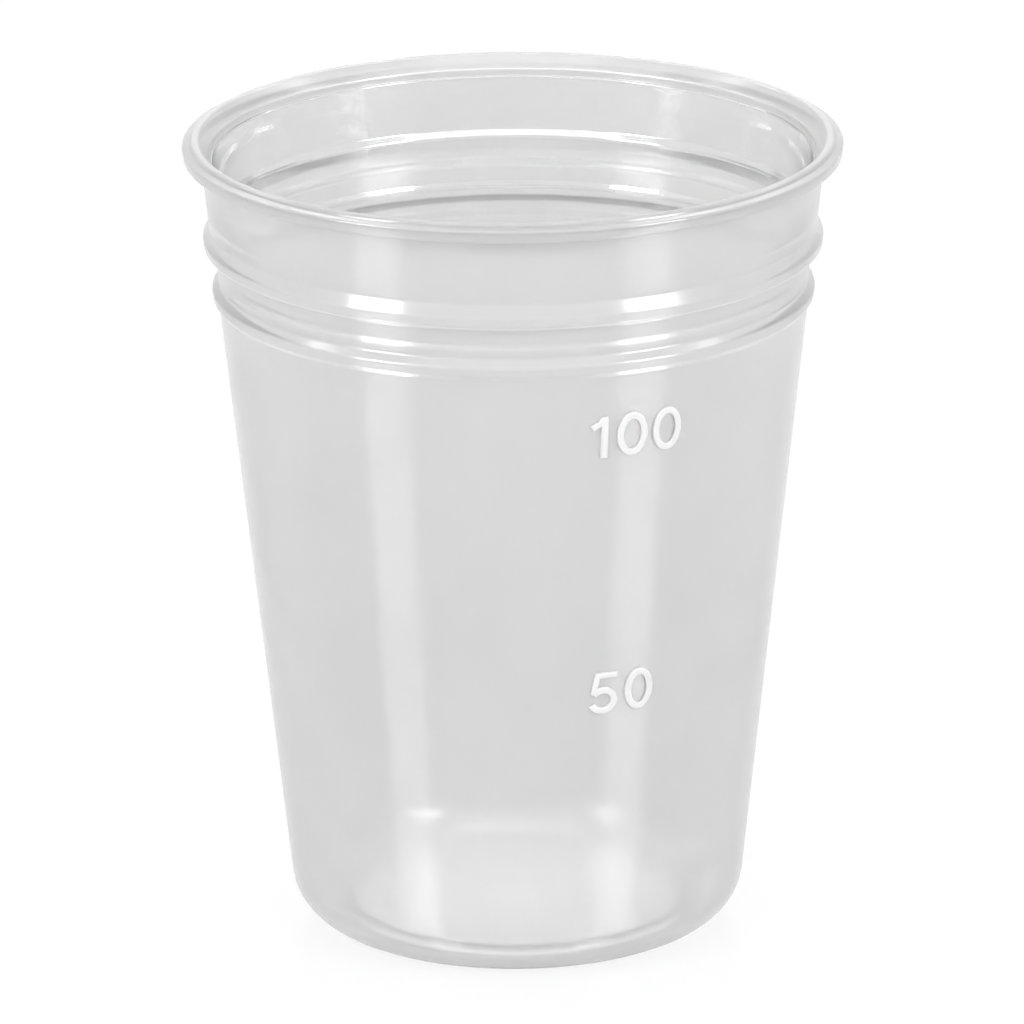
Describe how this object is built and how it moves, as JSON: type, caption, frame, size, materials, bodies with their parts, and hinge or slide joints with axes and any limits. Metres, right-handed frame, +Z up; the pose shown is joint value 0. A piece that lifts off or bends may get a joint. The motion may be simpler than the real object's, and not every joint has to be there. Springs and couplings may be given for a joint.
{
  "type": "disposable cup",
  "caption": "Tapered translucent sample cup with a flanged rim, raised beads below it, a rounded foot with a recessed base, and raised volume numerals.",
  "frame": {"origin": "on the cup's axis, in the plane that the foot ring stands on", "axes": "+Z up along the axis towards the mouth; the numerals face -Y, turned towards +X"},
  "size_m": [0.064, 0.064, 0.0792],
  "materials": {
    "cup": "natural unpigmented polypropylene, translucent, satin gloss"
  },
  "bodies": {
    "root": {"cup": "cup"}
  },
  "joints": []
}
